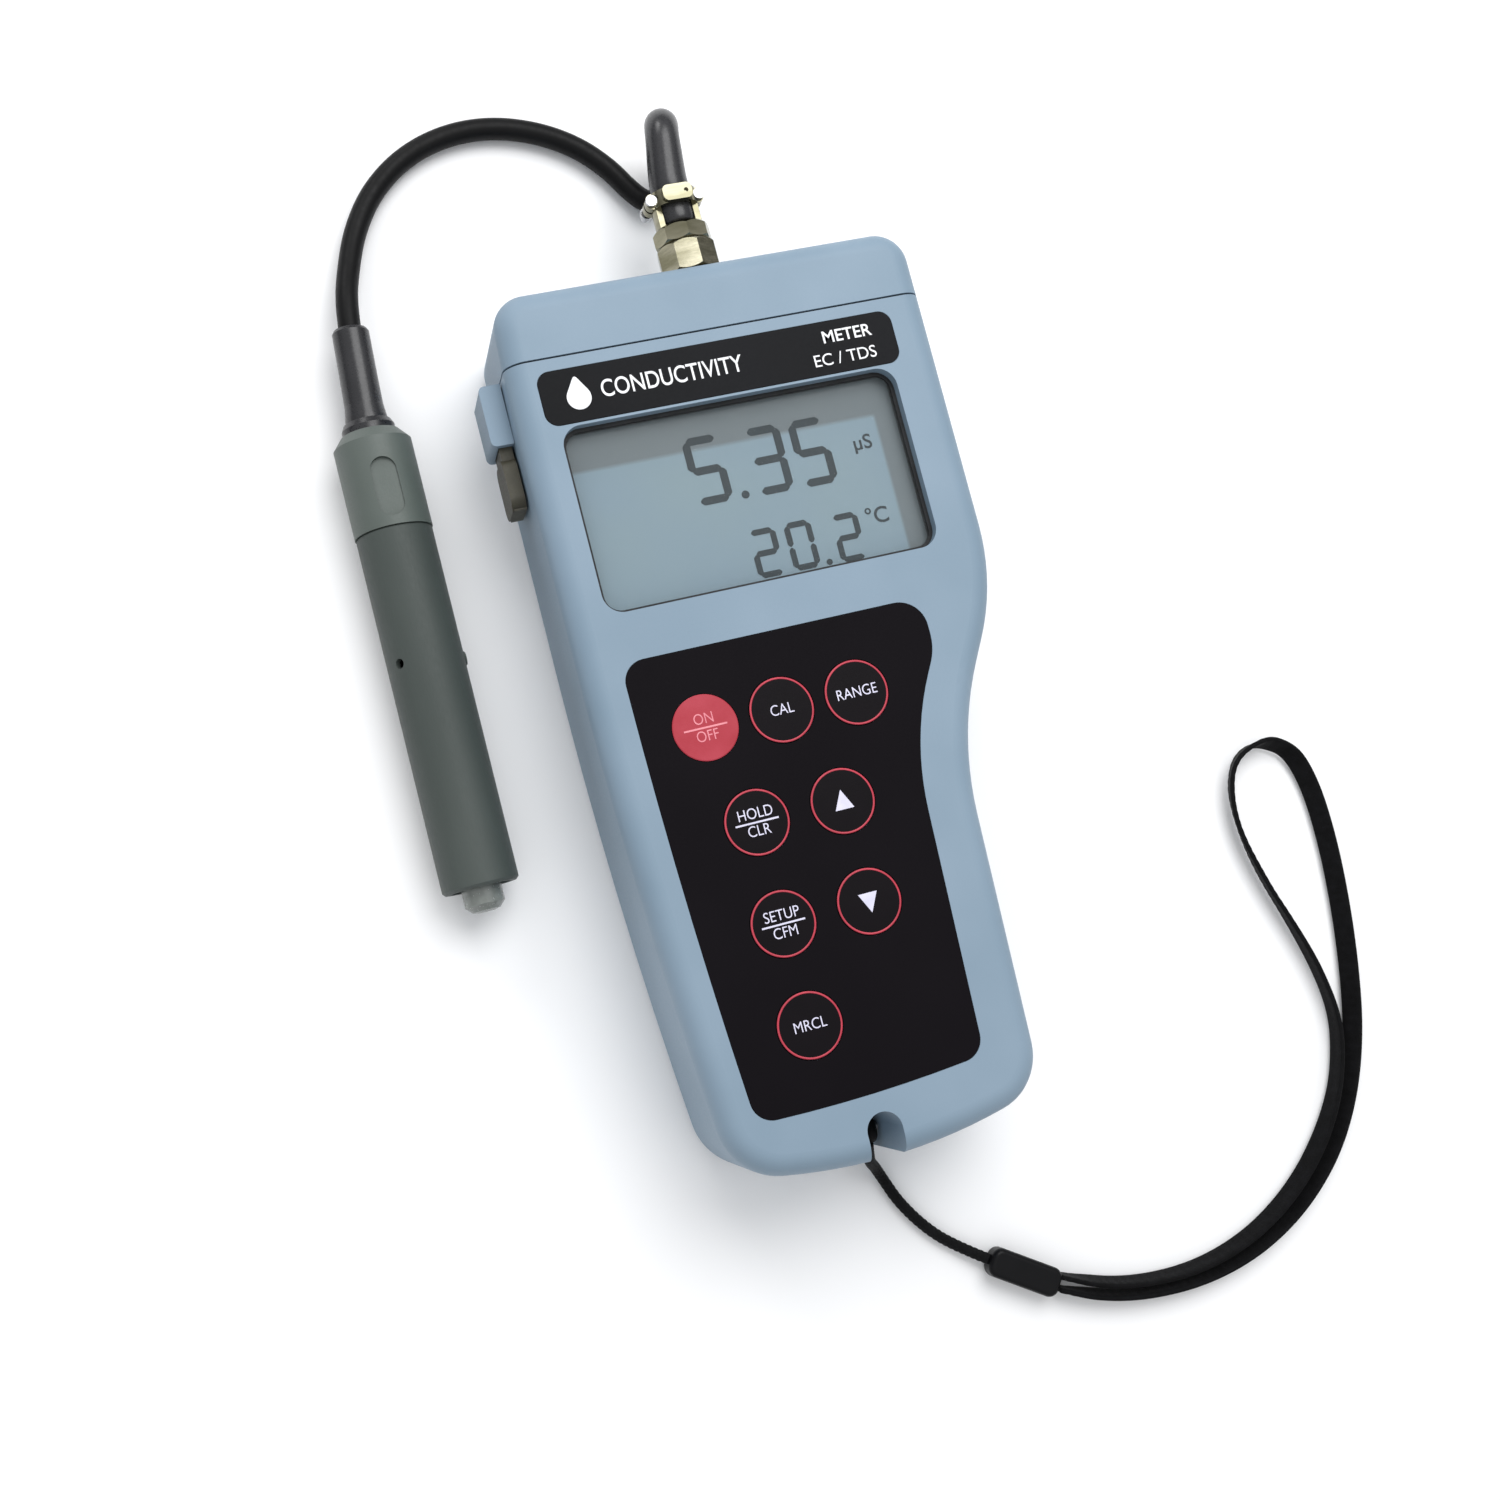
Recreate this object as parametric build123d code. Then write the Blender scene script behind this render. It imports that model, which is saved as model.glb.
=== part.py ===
from build123d import *
import math
import os

# Hand-held conductivity meter with a cabled cell probe and a wrist strap.
#
# Millimetres. +Z points out of the display, +Y towards the connector, +X to the
# right of the display. The origin is on the flat back, at the centre of the
# housing's length, under the middle of the display head. The probe, its cable
# and the strap lie on the same plane as the back of the housing (z = 0).

# housing
half_length = 92.5          # housing, from the origin to each end
thickness = 36.0            # back face to display face
wall = 2.4
split_z = 12.0              # joint between rear and front shell
cap_y = 77.7                # joint between the shells and the end cap
seam_gap = 0.4              # gasket shown between cap and shells
head_left = -44.6           # straight left side of the display head
head_right = 45.4           # right side of the display head
handle_right = 28.4         # right side where the waist ends
handle_left_end = -39.2     # left side at the very bottom
waist_angle = 29.0          # slope of the waist, degrees
handle_taper = 1.9          # slope of the right side below the waist, degrees
front_round = 4.5
back_round = 5.0

# display and label
label_size = (75.8, 11.2)
label_center = (-0.9, 69.3)
window_size = (71.4, 38.8)
window_center = (-1.0, 43.7)
window_corner = 4.2
lens_z = 31.7               # underside of the clear lens
lens_thickness = 1.4
glass_size = (70.2, 37.6, 2.7)

# keypad
overlay_thickness = 0.5
key_radius = 6.7
key_gap = 0.15
key_travel = 0.6
key_proud = 0.2
key_rows = (-1.7, -22.3, -42.9, -63.3)
top_row_x = (-23.1, -7.1, 8.9)
left_column_x = -17.8
right_column_x = 0.3

# inside
board_z = 24.0
board_thickness = 1.6
switch_height = 1.3
battery_center = (-7.0, -44.0)
battery_opening = (50.0, 52.0)
door_size = (58.0, 62.0)
cell_radius = 5.2
cell_length = 44.5
boss_spots = ((-38.4, 70.0), (39.2, 70.0), (-38.4, 12.0), (38.6, 17.5), (-33.8, -79.5), (19.8, -79.5))
board_spots = ((-34.0, 17.5), (30.0, 17.5), (-32.5, -74.0), (13.0, -74.0))

# connector and lead
plug_x = 2.4
plug_z = 20.0
socket_radius = 4.8
nut_radius = 6.6
boot_radius = 3.95
cable_diameter = 4.8

# probe
probe_x = -70.95
probe_z = 8.3
head_radius = 8.2
sleeve_radius = 8.0
sleeve_bore = 6.7
probe_top = 77.2
seam_y = 55.5
sleeve_end = -20.4
tip_end = -25.4
stem_radius = 4.3
boot_pivot_y = 79.2         # the rubber tube leans from here to the cable's end

# strap
notch_center = (-8.4, -86.85)
notch_radius = 3.65
strap_cord_diameter = 2.2
pin_spot = (-88.0, 16.0)    # y and z of the bar that the strap is hitched to
web_width = 4.4
web_thickness = 1.0
slider_center = (22.0, -128.3)
slider_angle = -35.2
slider_size = (16.5, 6.4, 5.2)

# Free cable from the end of the plug's boot to the end of the probe's boot.
cable_route = [
    (6.1, 130.5, 13.0), (6.9, 129.9, 9.3), (7.8, 127.1, 7.0), (7.6, 122.9, 5.6), (5.4, 119.4, 4.4),
    (1.4, 119.1, 3.5), (-1.6, 122.8, 2.8), (-5.0, 128.8, 2.5), (-10.9, 135.0, 2.5), (-19.2, 139.8, 2.5),
    (-29.2, 142.5, 2.5), (-39.4, 142.1, 2.5), (-49.2, 138.6, 2.6), (-57.6, 132.0, 2.8), (-63.4, 123.4, 3.4),
    (-66.9, 114.2, 5.2), (-69.1, 106.6, 7.6), (-69.75, 100.2, 8.3),
]
# Round cord from the pin in the notch, over the end of the housing and along the floor to the slider.
strap_cord_route = [
    (-7.6, -90.9, 16.6), (-7.4, -94.2, 13.6), (-6.2, -96.0, 9.0), (-4.4, -97.6, 4.2), (-2.6, -101.0, 1.3),
    (-0.4, -107.0, 1.3), (4.4, -114.4, 1.3), (9.9, -119.6, 1.3), (15.3, -123.6, 2.4),
]
# Flat webbing, standing on edge, out of the slider along the outer run, round the loop and back.
webbing_route = [
    (28.7, -134.0), (36.0, -137.6), (47.5, -140.8), (61.5, -141.7), (75.5, -139.3), (88.5, -133.4),
    (99.5, -124.4), (107.6, -113.0), (113.2, -100.0), (116.6, -86.0), (119.0, -71.0), (120.3, -56.0),
    (120.0, -43.0), (117.6, -34.6), (111.0, -30.4), (103.6, -32.4), (99.8, -39.0), (99.2, -49.0),
    (101.6, -61.0), (105.6, -73.0), (108.6, -84.0), (109.8, -95.0), (107.6, -104.4), (103.4, -113.4),
    (95.8, -123.0), (86.0, -130.8), (74.4, -136.4), (61.2, -139.0), (47.9, -138.2), (36.6, -135.0),
    (29.6, -131.4),
]


def save(name, shape):
    os.makedirs("parts", exist_ok=True)
    export_step(shape, f"parts/{name}.step")


def group(shapes):
    """Separate equal solids kept in one node."""
    solids = []
    for shape in shapes:
        solids.extend(shape.solids())
    return Compound(children=solids)


def block(size, center, bottom):
    """Box of size (x, y, z) standing on z = bottom over the point center."""
    return Pos(center[0], center[1], bottom) * Box(*size, align=(Align.CENTER, Align.CENTER, Align.MIN))


def rounded_block(size, center, bottom, corner):
    """Plate with round corners, standing on z = bottom."""
    plate = extrude(RectangleRounded(size[0], size[1], corner), size[2])
    return Pos(center[0], center[1], bottom) * plate


def post(radius, height, center, bottom):
    cylinder = Cylinder(radius, height, align=(Align.CENTER, Align.CENTER, Align.MIN))
    return Pos(center[0], center[1], bottom) * cylinder


def along_y(radius, start, end, x, z):
    """Cylinder from y = start to y = end."""
    cylinder = Cylinder(radius, end - start, align=(Align.CENTER, Align.CENTER, Align.MIN))
    return Pos(x, start, z) * Rot(X=-90) * cylinder


def turned(profile, x, z):
    """Solid turned about a line along +Y; profile lists (radius, y) points, closed on itself."""
    face = make_face(Polyline([(radius, y) for radius, y in profile], close=True))
    return Pos(x, 0, z) * revolve(face, Axis.Y, 360)


# outlines
def waist_edge(x_top, y_top, x_bottom, shoulder_radius, waist_radius):
    """S-shaped step of the right side; returns its corner points and the tangent of the slope."""
    slope = math.radians(waist_angle)
    taper = math.radians(handle_taper)
    start = Vector(x_top, y_top)
    shoulder_drop = Vector(-shoulder_radius * (1 - math.cos(slope)), -shoulder_radius * math.sin(slope))
    shoulder_end = start + shoulder_drop
    waist_run = waist_radius * (math.cos(taper) - math.cos(slope))
    straight = (shoulder_end.X - x_bottom - waist_run) / math.sin(slope)
    tangent = Vector(-math.sin(slope), -math.cos(slope))
    waist_start = shoulder_end + tangent * straight
    waist_end = waist_start + Vector(-waist_run, -waist_radius * (math.sin(slope) - math.sin(taper)))
    return start, shoulder_end, waist_start, waist_end, tangent


def rounded_face(lines, corners):
    """Face inside the lines; corners is a list of (point, radius)."""
    face = make_face(lines)
    for point, radius in corners:
        vertex = face.vertices().sort_by_distance(Vector(*point))[0]
        face = fillet(vertex, radius)
    return face


def housing_outline(inset=0.0):
    """Plan of the housing, or the same plan drawn smaller by inset all round."""
    start, shoulder_end, waist_start, waist_end, tangent = waist_edge(
        head_right - inset, 27.0, handle_right - inset, 48.0 - inset, 68.0 + inset)
    handle_run = 56.0 - inset
    right_end = (waist_end.X - handle_run * math.tan(math.radians(handle_taper)), waist_end.Y - handle_run)
    left_end = (handle_left_end + inset, right_end[1] - 0.4)
    top_left = (head_left + 0.9 + inset, half_length - inset)
    top_right = (head_right - inset, half_length - inset)
    left_low = (head_left + inset, 20.0)
    left_high = (head_left + inset, 60.0)
    lines = Curve() + [
        Line(top_left, top_right),
        Line(top_right, start),
        TangentArc(start, shoulder_end, tangent=(0, -1)),
        Line(shoulder_end, waist_start),
        TangentArc(waist_start, waist_end, tangent=tangent),
        Line(waist_end, right_end),
        ThreePointArc(right_end, (-8.0, inset - half_length), left_end),
        TangentArc(left_low, left_end, tangent=(0, -1)),
        Line(left_low, left_high),
        TangentArc(left_high, top_left, tangent=(0, 1)),
    ]
    corners = [(top_left, 7.0), (top_right, 7.0), (right_end, 12.0), (left_end, 13.0)]
    return rounded_face(lines, [(point, radius - inset) for point, radius in corners])


def overlay_outline(inset=0.0):
    """Plan of the keypad recess, or of the overlay that lies inside it."""
    start, shoulder_end, waist_start, waist_end, tangent = waist_edge(
        27.4 - inset, 6.6, 17.2 - inset, 12.0 - inset, 60.0 + inset)
    right_end = (15.3 - inset, -78.0 + inset)
    left_end = (-32.9 + inset, -78.9 + inset)
    top_left = (-36.5 + inset, 14.4 - inset)
    top_right = (27.4 - inset, 14.4 - inset)
    lines = Curve() + [
        Line(top_left, top_right),
        Line(top_right, start),
        TangentArc(start, shoulder_end, tangent=(0, -1)),
        Line(shoulder_end, waist_start),
        TangentArc(waist_start, waist_end, tangent=tangent),
        Line(waist_end, right_end),
        ThreePointArc(right_end, (-8.0, -79.4 + inset), left_end),
        ThreePointArc(left_end, (-35.6 + inset, -32.0), top_left),
    ]
    corners = [(top_left, 4.6), (top_right, 6.0), (right_end, 4.6), (left_end, 4.6)]
    return rounded_face(lines, [(point, radius - inset) for point, radius in corners])


outline = housing_outline()
overlay_face = overlay_outline()


def slab(face, bottom, top):
    return extrude(Pos(0, 0, bottom) * face, top - bottom)


# keys
key_spots = {
    "key_on_off": (top_row_x[0], key_rows[0]),
    "key_cal": (top_row_x[1], key_rows[0]),
    "key_range": (top_row_x[2], key_rows[0]),
    "key_hold": (left_column_x, key_rows[1]),
    "key_up": (right_column_x, key_rows[1]),
    "key_setup": (left_column_x, key_rows[2]),
    "key_down": (right_column_x, key_rows[2]),
    "key_recall": (left_column_x, key_rows[3]),
}
board_top = board_z + board_thickness
plunger_bottom = board_top + switch_height + key_travel + 0.1


def key(center):
    """Round push key: crowned cap, retaining flange and plunger over its switch."""
    cap_top = thickness + key_proud
    rim = cap_top - 0.16
    flange = key_radius + 0.7
    side = Polyline([(0, plunger_bottom), (2, plunger_bottom), (2, 32), (flange, 32), (flange, 33),
                     (key_radius, 33),
                     (key_radius, rim), (key_radius - 0.2, rim + 0.1)])
    crown = TangentArc((0, cap_top), side @ 1, tangent=(1, 0))
    profile = make_face(Curve() + [side, crown, Line((0, cap_top), (0, plunger_bottom))])
    return Pos(*center, 0) * Rot(X=90) * revolve(profile, Axis.Y, 360)


# housing shells
def housing_shell():
    """Hollow shell of the whole body with every opening, before it is split."""
    body = slab(outline, 0, thickness)
    body = fillet(body.faces().sort_by(Axis.Z)[-1].edges(), front_round)
    body = fillet(body.faces().sort_by(Axis.Z)[0].edges(), back_round)
    cavity = slab(housing_outline(wall), wall, thickness - wall)
    shell = body - cavity
    strap_post = block((14, 13, 31.2), (-8.4, -87.4), wall)
    shell += slab(housing_outline(wall - 0.1), wall, thickness - wall) & strap_post
    for spot in boss_spots:
        shell += post(3.6, thickness - 2 * wall, spot, wall)
    for spot in board_spots:
        shell += post(2.6, thickness - wall - board_top, spot, board_top)
    frame = block((door_size[0] + 5, door_size[1] + 5, 3.1), battery_center, wall - 0.1)
    shell += frame & slab(housing_outline(wall - 0.1), wall - 0.1, 6)
    return shell


def cut_openings(shell):
    window_hole = rounded_block((*window_size, 6), window_center, thickness - 4, window_corner)
    recess_size = (label_size[0] + 0.2, label_size[1] + 0.2, 2)
    label_recess = rounded_block(recess_size, label_center, thickness - 0.5, 2.8)
    shell = shell - window_hole - label_recess
    shell -= slab(overlay_face, thickness - overlay_thickness, thickness + 1)
    for center in key_spots.values():
        shell -= post(key_radius + key_gap, 6, center, thickness - 5)
    shell -= post(notch_radius, thickness + 2, notch_center, -1)
    shell -= block((2 * notch_radius, 10, thickness + 2), (notch_center[0], notch_center[1] - 5), -1)
    shell -= rounded_block((door_size[0] + 0.4, door_size[1] + 0.4, 4), battery_center, -1, 3.2)
    shell -= rounded_block((*battery_opening, 10), battery_center, -1, 2)
    for spot in boss_spots:
        shell -= post(1.45, thickness - 10, spot, -1)
        shell -= post(3.0, 5, spot, -1)
    for spot in board_spots:
        shell -= post(0.9, 6.0, spot, board_top - 1)
    for side in (-1, 1):
        spot = (battery_center[0], battery_center[1] + side * 28.5)
        shell -= post(1.2, 8, spot, -1)
    shell -= along_y(socket_radius + 0.05, 80, 100, plug_x, plug_z)
    pin_hole = Pos(notch_center[0], *pin_spot) * Rot(Y=90) * Cylinder(1.0, 12.5)
    return shell - pin_hole


shell = cut_openings(housing_shell())
below_split = Pos(0, 0, split_z - 50) * Box(400, 400, 100)
below_cap = Pos(0, cap_y - seam_gap / 2 - 100, 0) * Box(400, 200, 200)
above_cap = Pos(0, cap_y + seam_gap / 2 + 100, 0) * Box(400, 200, 200)
gasket_line = housing_outline(0.9) - housing_outline(1.7)
gasket_ring = slab(gasket_line, split_z - 1.0, split_z) & below_cap

shells = shell & below_cap
rear_housing = (shells & below_split) - gasket_ring
front_housing = shells - below_split
top_cap = shell & above_cap
cap_seam_plate = Pos(0, cap_y, 0) * Box(400, seam_gap, 200)
seal = slab(housing_outline(0.7), 0.7, thickness - 0.7)
seal = fillet(seal.faces().sort_by(Axis.Z)[-1].edges(), front_round - 0.7)
seal = fillet(seal.faces().sort_by(Axis.Z)[0].edges(), back_round - 0.7)
seal -= slab(housing_outline(2.2), 2.2, thickness - 2.2)
cap_gasket = seal & cap_seam_plate

save("front_housing", front_housing)
save("rear_housing", rear_housing)
save("top_cap", top_cap)
save("housing_gasket", gasket_ring)
save("cap_gasket", cap_gasket)

# label, window and display
save("nameplate", rounded_block((*label_size, 0.6), label_center, thickness - 0.5, 2.7))

gasket_z = lens_z + lens_thickness
gasket_outer = rounded_block((window_size[0] + 3, window_size[1] + 3, 0.5), window_center, gasket_z, 5.4)
gasket_inner = rounded_block((window_size[0] - 1.6, window_size[1] - 1.6, 0.5), window_center, gasket_z, 3.4)
save("window_gasket", gasket_outer - gasket_inner)
lens_size = (window_size[0] + 3, window_size[1] + 3, lens_thickness)
save("window_lens", rounded_block(lens_size, window_center, lens_z, 5.4))

glass_bottom = lens_z - 0.3 - glass_size[2]
save("lcd_panel", rounded_block(glass_size, window_center, glass_bottom, 0.6))
frame_outer = block((window_size[0] + 3, window_size[1] + 3, lens_z - board_top), window_center, board_top)
frame_pocket = block((glass_size[0] + 0.2, glass_size[1] + 0.2, 10), window_center, board_top)
save("lcd_frame", frame_outer - frame_pocket)
strip_y = glass_size[1] / 2 - 2.2
contact_strips = []
for side in (-1, 1):
    strip_center = (window_center[0], window_center[1] + side * strip_y)
    contact_strips.append(block((66, 2.4, glass_bottom - board_top), strip_center, board_top))
save("contact_strips", group(contact_strips))

# keypad
overlay = slab(overlay_outline(0.1), thickness - overlay_thickness, thickness + 0.05)
for center in key_spots.values():
    overlay -= post(key_radius + key_gap, 4, center, thickness - 2)
save("keypad_overlay", overlay)
for name, center in key_spots.items():
    save(name, key(center))

# electronics
board = slab(housing_outline(4.2), board_z, board_top) & block((200, 150, 40), (0, -3.5), 0)
for spot in boss_spots:
    board -= post(4.1, 10, spot, board_z - 5)
for spot in board_spots:
    board -= post(1.1, 10, spot, board_z - 5)
board -= block((15, 14, 10), (-8.4, -85.6), board_z - 5)
save("main_board", board)
save("tact_switches", group([post(3.2, switch_height, center, board_top) for center in key_spots.values()]))
chips = [
    block((12, 12, 1.6), (16, 12), board_z - 1.6),
    block((9, 6, 1.8), (-12, 8), board_z - 1.8),
    block((6, 5, 1.8), (-26, 30), board_z - 1.8),
    block((18, 7, 3.4), (6, 62), board_z - 3.4),
]
save("board_chips", group(chips))
board_screws = []
for spot in board_spots:
    board_screws.append(post(2.0, 1.4, spot, board_z - 1.4) + post(0.9, 6.4, spot, board_z - 0.2))
save("board_screws", group(board_screws))

# power
tray_size = (battery_opening[0] + 3, battery_opening[1] + 3)
tray = block((*tray_size, 10.4), battery_center, 5.6) - block((*battery_opening, 9.4), battery_center, 5.0)
save("battery_tray", tray)
cells = []
contacts = []
for index in range(4):
    cell_x = battery_center[0] + (index - 1.5) * 11.2
    cell_z = 8.9
    start = battery_center[1] - cell_length / 2
    cell = along_y(cell_radius, start, start + cell_length - 1.0, cell_x, cell_z)
    cells.append(cell + along_y(1.9, start + cell_length - 1.1, start + cell_length, cell_x, cell_z))
    for outer, inner in ((start - 3.4, start), (start + cell_length + 3.4, start + cell_length)):
        side = 1 if inner > outer else -1
        plate = Pos(cell_x, outer + side * 0.25, cell_z) * Box(8.6, 0.5, 9.0)
        spring = along_y(2.4, min(outer, inner) + 0.05, max(outer, inner) - 0.05, cell_x, cell_z)
        contacts.append(plate + spring)
save("battery_cells", group(cells))
save("battery_contacts", group(contacts))

door = rounded_block((*door_size, 2.05), battery_center, 0.15, 3.0)
door_screws = []
for side in (-1, 1):
    spot = (battery_center[0], battery_center[1] + side * 28.5)
    door -= post(1.4, 8, spot, -1)
    door -= post(2.6, 1.45, spot, 0)
    door_screws.append(post(2.45, 1.0, spot, 0.4) + post(1.1, 4.2, spot, 1.3))
for rib in range(5):
    door -= block((22, 1.2, 0.5), (battery_center[0], battery_center[1] + (rib - 2) * 3.0), 0.15)
save("battery_door", door)
save("door_screws", group(door_screws))
door_gasket = rounded_block((56.5, 60.5, 0.7), battery_center, 2.25, 2.4)
door_gasket -= rounded_block((52, 54, 0.7), battery_center, 2.25, 1.6)
for side in (-1, 1):
    door_gasket -= post(1.4, 2, (battery_center[0], battery_center[1] + side * 28.5), 2)
save("door_gasket", door_gasket)

housing_screws = []
for spot in boss_spots:
    housing_screws.append(post(2.8, 2.2, spot, 1.8) + post(1.4, 17.0, spot, 3.9))
save("housing_screws", group(housing_screws))

# side bracket and probe clip
bracket_y = (64.5, 77.2)
clip_end_y = 51.2
clip_bed_z = 14.0
bracket_height = 13.0
rail_x = head_left - 0.05
bracket = Pos((rail_x - 4.6 + rail_x) / 2, sum(bracket_y) / 2, clip_bed_z + bracket_height / 2)
bracket_body = bracket * Box(4.6, bracket_y[1] - bracket_y[0], bracket_height)
bracket_body = fillet(bracket_body.edges().filter_by(Axis.Z).sort_by(Axis.X)[:2], 1.2)
channel = Pos(rail_x - 1.75, sum(bracket_y) / 2 - 2, clip_bed_z + bracket_height / 2) * Box(2.9, 14.0, 9.4)
save("side_bracket", bracket_body - channel)
clip_top_y = bracket_y[1] - 2.4
clip_plate = Pos(rail_x - 1.75, (clip_top_y + clip_end_y) / 2, clip_bed_z + bracket_height / 2) * Box(
    2.6, clip_top_y - clip_end_y, 9.0)
clip_lip = Pos(rail_x - 1.95, clip_end_y + 5.5, clip_bed_z + bracket_height / 2) * Box(3.0, 11.0, 11.4)
clip = fillet(clip_lip.edges().filter_by(Axis.X), 2.6) + clip_plate
save("probe_clip", clip)

# panel socket in the cap
socket_profile = [(3.6, 85.5), (6.4, 85.5), (6.4, half_length - wall), (socket_radius, half_length - wall)]
thread_start = half_length + 0.4
thread_pitch = 0.8
for turn in range(7):
    y = thread_start + turn * thread_pitch
    socket_profile.extend([(socket_radius, y), (socket_radius - 0.35, y + 0.4)])
socket_profile.extend([(socket_radius, 99.0), (socket_radius - 0.4, 99.4), (3.6, 99.4)])
save("panel_socket", turned(socket_profile, plug_x, plug_z))
panel_nut = extrude(RegularPolygon(7.6, 6), 2.0)
panel_nut = Pos(plug_x, half_length, plug_z) * Rot(X=-90) * panel_nut
save("socket_nut", panel_nut - along_y(socket_radius + 0.02, 90, 97, plug_x, plug_z))
contact_angles = [math.radians(step) for step in range(0, 360, 72)]
contact_ring = [(1.9 * math.cos(angle), 1.9 * math.sin(angle)) for angle in contact_angles]
socket_insert = along_y(3.55, 86.0, 92.0, plug_x, plug_z)
for dx, dz in contact_ring:
    socket_insert -= along_y(0.55, 88.0, 93.0, plug_x + dx, plug_z + dz)
save("socket_insert", socket_insert)

# plug
clamp_start = 110.0
clamp_end = 113.4
nut_bore = socket_radius + 0.1
nut_profile = [(nut_bore, 95.0), (nut_radius - 0.5, 95.0), (nut_radius, 95.5), (nut_radius, 100.7),
               (nut_radius - 0.5, 101.3), (4.2, 101.3), (4.2, 100.2), (nut_bore, 100.2)]
nut_flats = Pos(plug_x, 95.0, plug_z) * Rot(X=-90) * extrude(RegularPolygon(nut_radius, 8, rotation=11), 6.3)
save("plug_coupling_nut", turned(nut_profile, plug_x, plug_z) & nut_flats)

plug_shell = turned([(3.0, 99.5), (4.6, 99.5), (4.6, 100.1), (4.1, 100.1), (4.1, 101.6), (4.6, 101.6),
                     (4.6, 105.4), (3.0, 105.4)], plug_x, plug_z)
collar = Pos(plug_x, 101.6, plug_z) * Rot(X=-90) * extrude(RegularPolygon(6.3, 8), 3.9)
collar_profile = [(3.0, 101.6), (5.7, 101.6), (6.3, 102.2), (6.3, 104.7), (5.5, 105.5), (3.0, 105.5)]
collar &= turned(collar_profile, plug_x, plug_z)
plug_shell += collar
arms = along_y(5.1, 105.4, clamp_start, plug_x, plug_z)
arms -= along_y(boot_radius + 0.1, 105, 111, plug_x, plug_z)
plug_shell += arms & (Pos(plug_x, 108, plug_z) * Box(20, 20, 4.4))
save("plug_body", plug_shell)
plug_insert = along_y(2.95, 94.0, 104.0, plug_x, plug_z)
for dx, dz in contact_ring:
    plug_insert += along_y(0.45, 88.8, 94.1, plug_x + dx, plug_z + dz)
save("plug_insert", plug_insert)

# Two half saddles that grip the boot, with a screw through the ears on each side.
clamp_middle = (clamp_start + clamp_end) / 2
saddle_ring = along_y(5.3, clamp_start, clamp_end, plug_x, plug_z)
saddle_ring += rounded_block((6.4, clamp_end - clamp_start, 5.9), (plug_x, clamp_middle), plug_z, 1.2)
ears = rounded_block((12.8, clamp_end - clamp_start, 4.4), (plug_x, clamp_middle), plug_z - 2.2, 1.5)
saddle = saddle_ring + ears - along_y(4.0, 105, 118, plug_x, plug_z)
saddle -= post(0.5, 3, (plug_x + 1.9, clamp_middle), plug_z + 5.1)
screw_offset = 5.3
for side in (-1, 1):
    saddle -= post(0.85, 40, (plug_x + side * screw_offset, clamp_middle), 0)
    saddle -= post(1.4, 5, (plug_x + side * screw_offset, clamp_middle), plug_z + 2.2)
    saddle -= post(1.5, 5, (plug_x + side * screw_offset, clamp_middle), plug_z - 7.2)
saddle_split = Pos(plug_x, clamp_middle, plug_z) * Box(40, 40, 0.6)
save("plug_clamp", group([saddle - saddle_split]))
clamp_screws = []
for side in (-1, 1):
    spot = (plug_x + side * screw_offset, clamp_middle)
    screw = post(1.2, 0.8, spot, plug_z + 2.25) + post(0.8, 9.0, spot, plug_z - 6.5)
    clamp_screws.append(screw + post(1.35, 1.3, spot, plug_z - 4.6))
save("clamp_screws", group(clamp_screws))

# The boot leans a little to the right, then arches over and down to the cable.
boot_points = [
    (plug_x, 106.2, plug_z), (plug_x, 116.2, plug_z), (plug_x + 2.1, 131.5, plug_z), cable_route[0],
]
boot_line = FilletPolyline(*boot_points, radius=[40.0, 5.4])
boot_start_plane = Plane(origin=boot_points[0], z_dir=(0, 1, 0))
save("plug_boot", sweep(boot_start_plane * Circle(boot_radius), path=boot_line))


# cords
def route_radii(points):
    """One bend radius for each inner point: 0.45 of the shorter run over the tangent of half the turn."""
    vectors = [Vector(*point) for point in points]
    radii = []
    for before, here, after in zip(vectors, vectors[1:], vectors[2:]):
        turn = math.radians((here - before).get_angle(after - here))
        shorter = min((here - before).length, (after - here).length)
        radii.append(0.45 * shorter / math.tan(turn / 2))
    return radii


def cord_path(name, points):
    radii = route_radii(points)
    print(name, "radii", [round(radius, 1) for radius in radii])
    return FilletPolyline([Vector(*point) for point in points], radius=radii)


def swept(name, path, section, area):
    start = Plane(origin=path @ 0, x_dir=(path % 0).cross(Vector(0, 0, 1)), z_dir=path % 0)
    cord = sweep(start * section, path=path)
    ratio = cord.volume / (area * path.length)
    print(name, "length", round(path.length, 1), "volume ratio", round(ratio, 4))
    return cord


cable_line = cord_path("probe_cable", cable_route)
cable_area = math.pi * cable_diameter ** 2 / 4
save("probe_cable", swept("probe_cable", cable_line, Circle(cable_diameter / 2), cable_area))

strap_line = cord_path("strap_cord", strap_cord_route)
strap_area = math.pi * strap_cord_diameter ** 2 / 4
strap_cord = swept("strap_cord", strap_line, Circle(strap_cord_diameter / 2), strap_area)
save("strap_cord", strap_cord)

web_z = web_width / 2 + 0.3
web_line = cord_path("strap_webbing", [(x, y, web_z) for x, y in webbing_route])
web_area = web_width * web_thickness
strap_webbing = swept("strap_webbing", web_line, Rectangle(web_thickness, web_width), web_area)
save("strap_webbing", strap_webbing)

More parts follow.
